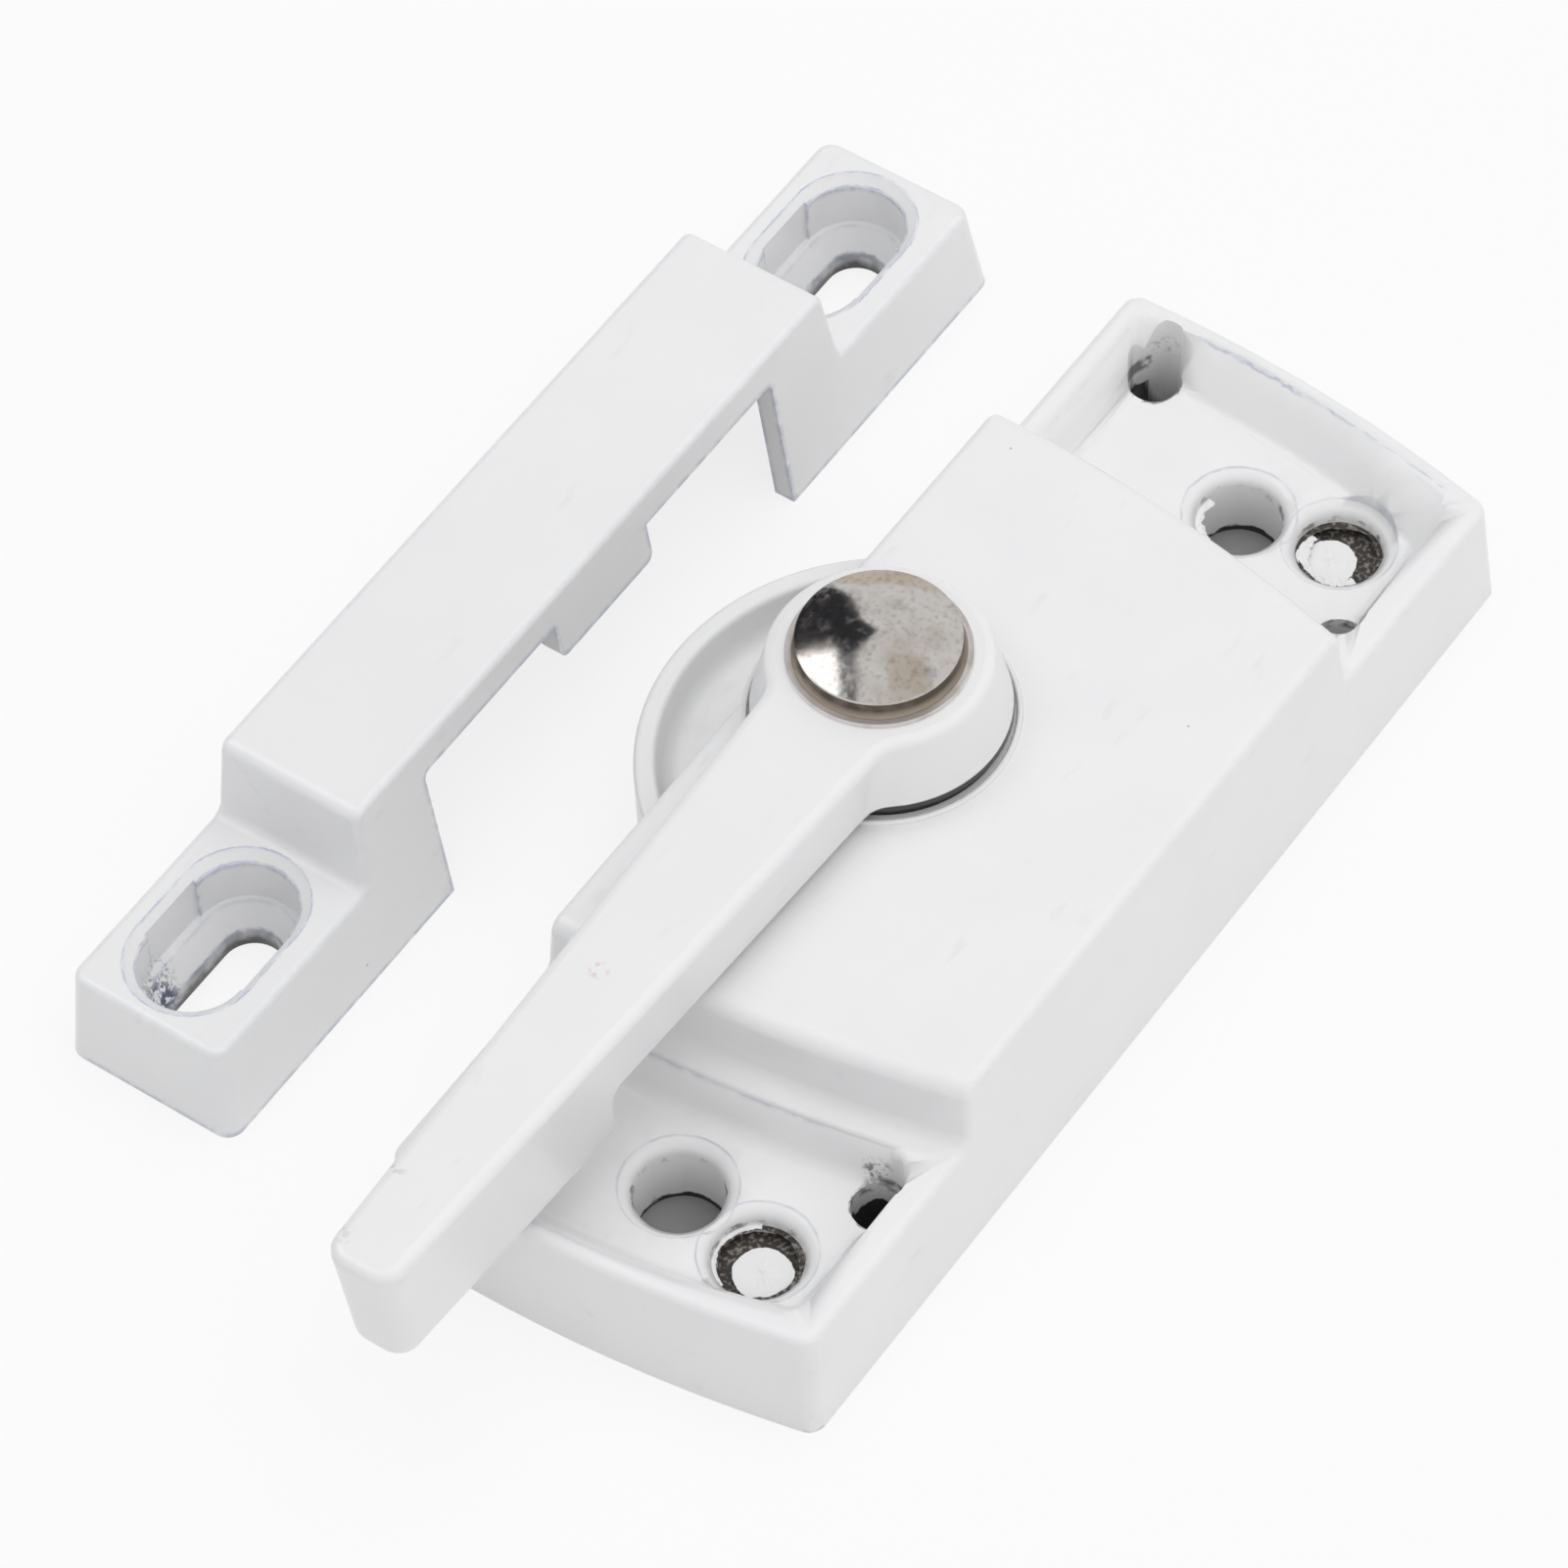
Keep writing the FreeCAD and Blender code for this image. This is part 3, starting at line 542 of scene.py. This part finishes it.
def torn_rim_tree():
    """A ragged strip round an upright line: from Start it sweeps round at Outer Radius and frays inwards."""
    tree = bpy.data.node_groups.new("torn_rim", "GeometryNodeTree")
    tree.interface.new_socket("Geometry", in_out="INPUT", socket_type="NodeSocketGeometry")
    for name in TORN_SIZES:
        tree.interface.new_socket(name, in_out="INPUT", socket_type="NodeSocketFloat")
    tree.interface.new_socket("Place", in_out="INPUT", socket_type="NodeSocketVector")
    tree.interface.new_socket("Paint", in_out="INPUT", socket_type="NodeSocketMaterial")
    tree.interface.new_socket("Geometry", in_out="OUTPUT", socket_type="NodeSocketGeometry")
    given = tree.nodes.new("NodeGroupInput").outputs

    def node(kind, *inputs, output=0, **settings):
        made = tree.nodes.new(kind)
        for key, value in settings.items():
            setattr(made, key, value)
        for socket, value in zip([one for one in made.inputs if one.enabled], inputs):
            if isinstance(value, bpy.types.NodeSocket):
                tree.links.new(value, socket)
            elif value is not None:
                socket.default_value = value
        return [one for one in made.outputs if one.enabled][output]

    def calc(operation, a, b=0.0, c=0.0):
        return node("ShaderNodeMath", a, b, c, operation=operation)

    grid = node("GeometryNodeMeshGrid", 1.0, 1.0, 145, 9)
    place = tree.nodes.new("ShaderNodeSeparateXYZ")
    tree.links.new(node("GeometryNodeInputPosition"), place.inputs[0])
    turn = calc("MULTIPLY_ADD", calc("ADD", place.outputs[0], 0.5), given["Sweep"], given["Start"])
    share = calc("ADD", place.outputs[1], 0.5)
    cosine = calc("COSINE", turn)
    sine = calc("SINE", turn)

    def fray(shift, radial):
        spot = node("ShaderNodeCombineXYZ", calc("MULTIPLY", cosine, radial), calc("MULTIPLY", sine, radial),
                    shift)
        cloud = tree.nodes.new("ShaderNodeTexNoise")
        cloud.noise_dimensions = "4D"
        tree.links.new(spot, cloud.inputs["Vector"])
        tree.links.new(given["Seed"], cloud.inputs["W"])
        tree.links.new(given["Grain"], cloud.inputs["Scale"])
        cloud.inputs["Detail"].default_value = 4.0
        cloud.inputs["Roughness"].default_value = 0.65
        return calc("MULTIPLY", calc("SUBTRACT", cloud.outputs[0], 0.5), 2.0)

    inner = calc("MULTIPLY_ADD", fray(0.0, 1.0), given["Ragged Inside"], given["Inner Radius"])
    inner = calc("MAXIMUM", inner, 0.00002)
    outer = calc("MULTIPLY_ADD", fray(7.0, 1.0), given["Ragged Outside"], given["Outer Radius"])
    radius = calc("MULTIPLY_ADD", share, calc("SUBTRACT", outer, inner), inner)
    free = calc("SUBTRACT", 1.0, share)
    rise = calc("MULTIPLY", calc("MULTIPLY", free, fray(3.0, calc("ADD", share, 1.0))), given["Lift"])
    spot = node("ShaderNodeCombineXYZ", calc("MULTIPLY", cosine, radius), calc("MULTIPLY", sine, radius),
                rise)
    strip = node("GeometryNodeSetPosition", grid, None, spot)
    strip = node("GeometryNodeMergeByDistance", strip, None, 0.000002)
    strip = node("GeometryNodeTransform", strip, given["Place"])
    strip = node("GeometryNodeRealizeInstances", strip)
    strip = node("GeometryNodeSetMaterial", strip, None, given["Paint"])
    tree.links.new(strip, tree.nodes.new("NodeGroupOutput").inputs[0])
    return tree


def torn_rim(tree, sizes, place, paint):
    """One torn strip as a plain mesh. Sizes are in millimetres and degrees, in the order of TORN_SIZES."""
    piece = bpy.data.objects.new("torn_strip", bpy.data.meshes.new("torn_strip"))
    bpy.context.scene.collection.objects.link(piece)
    ways = piece.modifiers.new("torn_rim", "NODES")
    ways.node_group = tree
    scales = (MM, MM, MM, MM, 1, MM, math.pi / 180, math.pi / 180, 1)
    values = {name: size * scale for name, size, scale in zip(TORN_SIZES, sizes, scales)}
    values["Place"] = [value * MM for value in place]
    values["Paint"] = paint
    for socket in tree.interface.items_tree:
        if socket.in_out == "INPUT" and socket.name in values:
            ways[socket.identifier] = values[socket.name]
    wall = piece.modifiers.new("thickness", "SOLIDIFY")
    wall.thickness = 0.07 * MM
    made = bpy.data.meshes.new_from_object(piece.evaluated_get(bpy.context.evaluated_depsgraph_get()))
    bpy.data.objects.remove(piece)
    return made


def joined(name, meshes, material):
    """The meshes as one object at the origin."""
    points = []
    faces = []
    for mesh in meshes:
        start = len(points)
        points += [tuple(vertex.co) for vertex in mesh.vertices]
        faces += [[start + index for index in face.vertices] for face in mesh.polygons]
    whole = bpy.data.meshes.new(name)
    whole.from_pydata(points, [], faces)
    whole.materials.append(material)
    piece = bpy.data.objects.new(name, whole)
    bpy.context.scene.collection.objects.link(piece)
    return piece


def lay_torn_paint():
    """Near-black torn borders and discs in the outer screw holes as painted shade, and white skins in these
    and in one inner hole.
    """
    tree = torn_rim_tree()
    (near_x, near_y), (far_x, far_y) = hole_pair("outer_screws")
    open_x, open_y = hole_pair("inner_screws")[1]
    shade_sheet = torn_edge_shade()
    white = powder_coat("torn_paint_skin", 95).done()
    level = POCKET_FLOOR - 1.9
    shade_border = (BORE_RADIUS, 2.75, 0.6, 0.0, 0.9, 0.5, 0, 360)
    shade_disc = (BORE_RADIUS, 0.0, 0.0, 0.0, 1.0, 0.1, 0, 360)
    edges = []
    # Painted shade: a near-black torn border and a near-black disc in each outer screw hole.
    for x, y, seed in ((near_x, near_y, 3.0), (far_x, far_y, 8.0)):
        edges.append(torn_rim(tree, (*shade_border, seed), (x, y, level + 0.35), shade_sheet))
        edges.append(torn_rim(tree, (*shade_disc, seed), (x, y, level - 0.5), shade_sheet))
    cap_near = (2.1, 0.0, 0.0, 0.4, 0.9, 0.2, 0, 360, 5.0)
    strand_near = (3.14, 2.85, 0.2, 0.0, 1.2, 0.5, 120, 130, 5.0)
    cap_far = (2.0, 0.0, 0.0, 0.7, 1.0, 0.2, 0, 360, 6.0)
    layer_far = (3.14, 2.1, 0.7, 0.0, 1.5, 0.7, 165, 165, 11.0)
    strands_open = (3.14, 2.5, 1.1, 0.0, 1.5, 0.8, 165, 100, 14.0)
    skins = [torn_rim(tree, cap_near, (near_x + 0.55, near_y - 0.25, level), white),
             torn_rim(tree, strand_near, (near_x, near_y, level + 0.5), white),
             torn_rim(tree, cap_far, (far_x - 0.45, far_y - 0.55, level), white),
             torn_rim(tree, layer_far, (far_x, far_y, level + 0.3), white),
             torn_rim(tree, strands_open, (open_x, open_y, POCKET_FLOOR - 1.4), white)]
    for name, meshes, material in (("painted_shade_torn_edges", edges, shade_sheet), ("torn_paint_skins", skins, white)):
        piece = joined(name, meshes, material)
        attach(piece, "case")


# Floor and light

def seen_rays(tree):
    """1 for camera, glossy and transmission rays."""
    rays = tree.nodes.new("ShaderNodeLightPath")
    total = None
    for name in ("Is Camera Ray", "Is Glossy Ray", "Is Transmission Ray"):
        if total is None:
            total = rays.outputs[name]
            continue
        sum_node = tree.nodes.new("ShaderNodeMath")
        sum_node.operation = "MAXIMUM"
        tree.links.new(total, sum_node.inputs[0])
        tree.links.new(rays.outputs[name], sum_node.inputs[1])
        total = sum_node.outputs[0]
    return total


def lay_floor():
    """White paper that glows a little for the camera, except in the deep shade under the lock."""
    half = 1.6
    drop = -0.00003
    mesh = bpy.data.meshes.new("floor")
    mesh.from_pydata([(-half, -half, drop), (half, -half, drop), (half, half, drop), (-half, half, drop)], [],
                     [(0, 1, 2, 3)])
    floor = bpy.data.objects.new("floor", mesh)
    bpy.context.scene.collection.objects.link(floor)
    paper = Finish("paper", (0.85, 0.85, 0.85), 0.9)
    paper.shader.inputs["Specular IOR Level"].default_value = 0.1
    shade = paper.both(paper.span("X", -15.0, 15.0, 0.5), paper.span("Y", -43.0, 43.0, 0.5))
    paper.tint(shade, (0.30, 0.30, 0.305))
    glow_share = paper.math("SUBTRACT", 1.0, shade)
    paper.done()
    tree = paper.tree
    share = paper.both(seen_rays(tree), glow_share, 0.8)
    glow = tree.nodes.new("ShaderNodeEmission")
    glow.inputs["Strength"].default_value = 1.0
    mix = tree.nodes.new("ShaderNodeMixShader")
    tree.links.new(share, mix.inputs[0])
    tree.links.new(paper.shader.outputs[0], mix.inputs[1])
    tree.links.new(glow.outputs[0], mix.inputs[2])
    tree.links.new(mix.outputs[0], tree.nodes["Material Output"].inputs["Surface"])
    mesh.materials.append(paper.material)


def light_world():
    world = bpy.data.worlds.new("studio")
    world.use_nodes = True
    tree = world.node_tree
    sky = tree.nodes["Background"]
    sky.inputs["Color"].default_value = (0.98, 0.985, 1.0, 1)
    sky.inputs["Strength"].default_value = 0.64
    white = tree.nodes.new("ShaderNodeBackground")
    white.inputs["Strength"].default_value = 1.0
    mix = tree.nodes.new("ShaderNodeMixShader")
    tree.links.new(seen_rays(tree), mix.inputs[0])
    tree.links.new(sky.outputs[0], mix.inputs[1])
    tree.links.new(white.outputs[0], mix.inputs[2])
    tree.links.new(mix.outputs[0], tree.nodes["World Output"].inputs["Surface"])
    bpy.context.scene.world = world


def softbox(name, position, size, power, color=(1, 1, 1)):
    lamp = bpy.data.lights.new(name, "AREA")
    lamp.shape = "RECTANGLE"
    lamp.size, lamp.size_y = size
    lamp.energy = power
    lamp.color = color
    box = bpy.data.objects.new(name, lamp)
    place = Vector(position)
    box.matrix_world = (-place).to_track_quat("-Z", "Y").to_matrix().to_4x4()
    box.location = place
    box.visible_camera = False
    box.visible_glossy = False
    bpy.context.scene.collection.objects.link(box)


def studio_card(name, corners, color, strength=1.0):
    """A card that shows only in polished metal. Its corners are so far right and back from over the rivet."""
    height = 0.624
    cos = math.cos(VIEW_TURN)
    sin = math.sin(VIEW_TURN)
    points = [(right * cos - back * sin + PIVOT[0] * MM, right * sin + back * cos, height)
              for right, back in corners]
    mesh = bpy.data.meshes.new(name)
    mesh.from_pydata(points, [], [list(range(len(points)))])
    card = bpy.data.objects.new(name, mesh)
    bpy.context.scene.collection.objects.link(card)
    for ray in ("camera", "diffuse", "transmission", "volume_scatter", "shadow"):
        setattr(card, "visible_" + ray, False)
    board = bpy.data.materials.new(name)
    board.use_nodes = True
    tree = board.node_tree
    glow = tree.nodes.new("ShaderNodeEmission")
    glow.inputs["Color"].default_value = (*color, 1)
    glow.inputs["Strength"].default_value = strength
    tree.links.new(glow.outputs[0], tree.nodes["Material Output"].inputs["Surface"])
    mesh.materials.append(board)


def light_studio():
    light_world()
    softbox("top_box", (0.08, 0.10, 0.80), (0.95, 0.85), 3.1)
    softbox("right_box", (0.75, -0.15, 0.40), (0.4, 0.5), 0.50, (1.0, 0.94, 0.97))
    studio_card("window", [(-0.222, -0.05), (-0.235, 0.325), (-0.53, 0.455), (-0.9, 0.62), (-0.9, -0.05)],
                (1.0, 1.0, 1.0), 1.9)
    studio_card("black_flag", [(0.005, 0.411), (-0.083, 0.576), (-0.168, 1.10), (-0.59, 2.56), (-3.0, 2.6),
                               (-3.0, 1.5), (-0.9, 0.63), (-0.53, 0.458), (-0.24, 0.33), (-0.213, 0.255),
                               (-0.105, 0.258)], (0.03, 0.031, 0.035))
    studio_card("grey_flag", [(-0.213, 0.255), (-0.12, 0.25), (-0.126, -0.06), (-0.222, -0.06)],
                (0.20, 0.21, 0.23))
    studio_card("warm_card", [(0.04, 0.24), (0.25, 0.20), (0.27, -0.02), (0.04, -0.02)], (0.62, 0.57, 0.50))
    studio_card("warm_back", [(-0.10, 1.6), (-0.50, 2.6), (-0.5, 4.5), (3.0, 4.5), (2.4, 1.6)],
                (0.70, 0.64, 0.57))
    studio_card("lens", [(0.245, 0.10), (0.245, 0.145), (0.295, 0.145), (0.295, 0.10)], (0.12, 0.13, 0.15))
    bpy.context.scene.view_settings.view_transform = "Standard"


place_camera()
dress_all()
settle_case()
lay_torn_paint()
lay_floor()
light_studio()
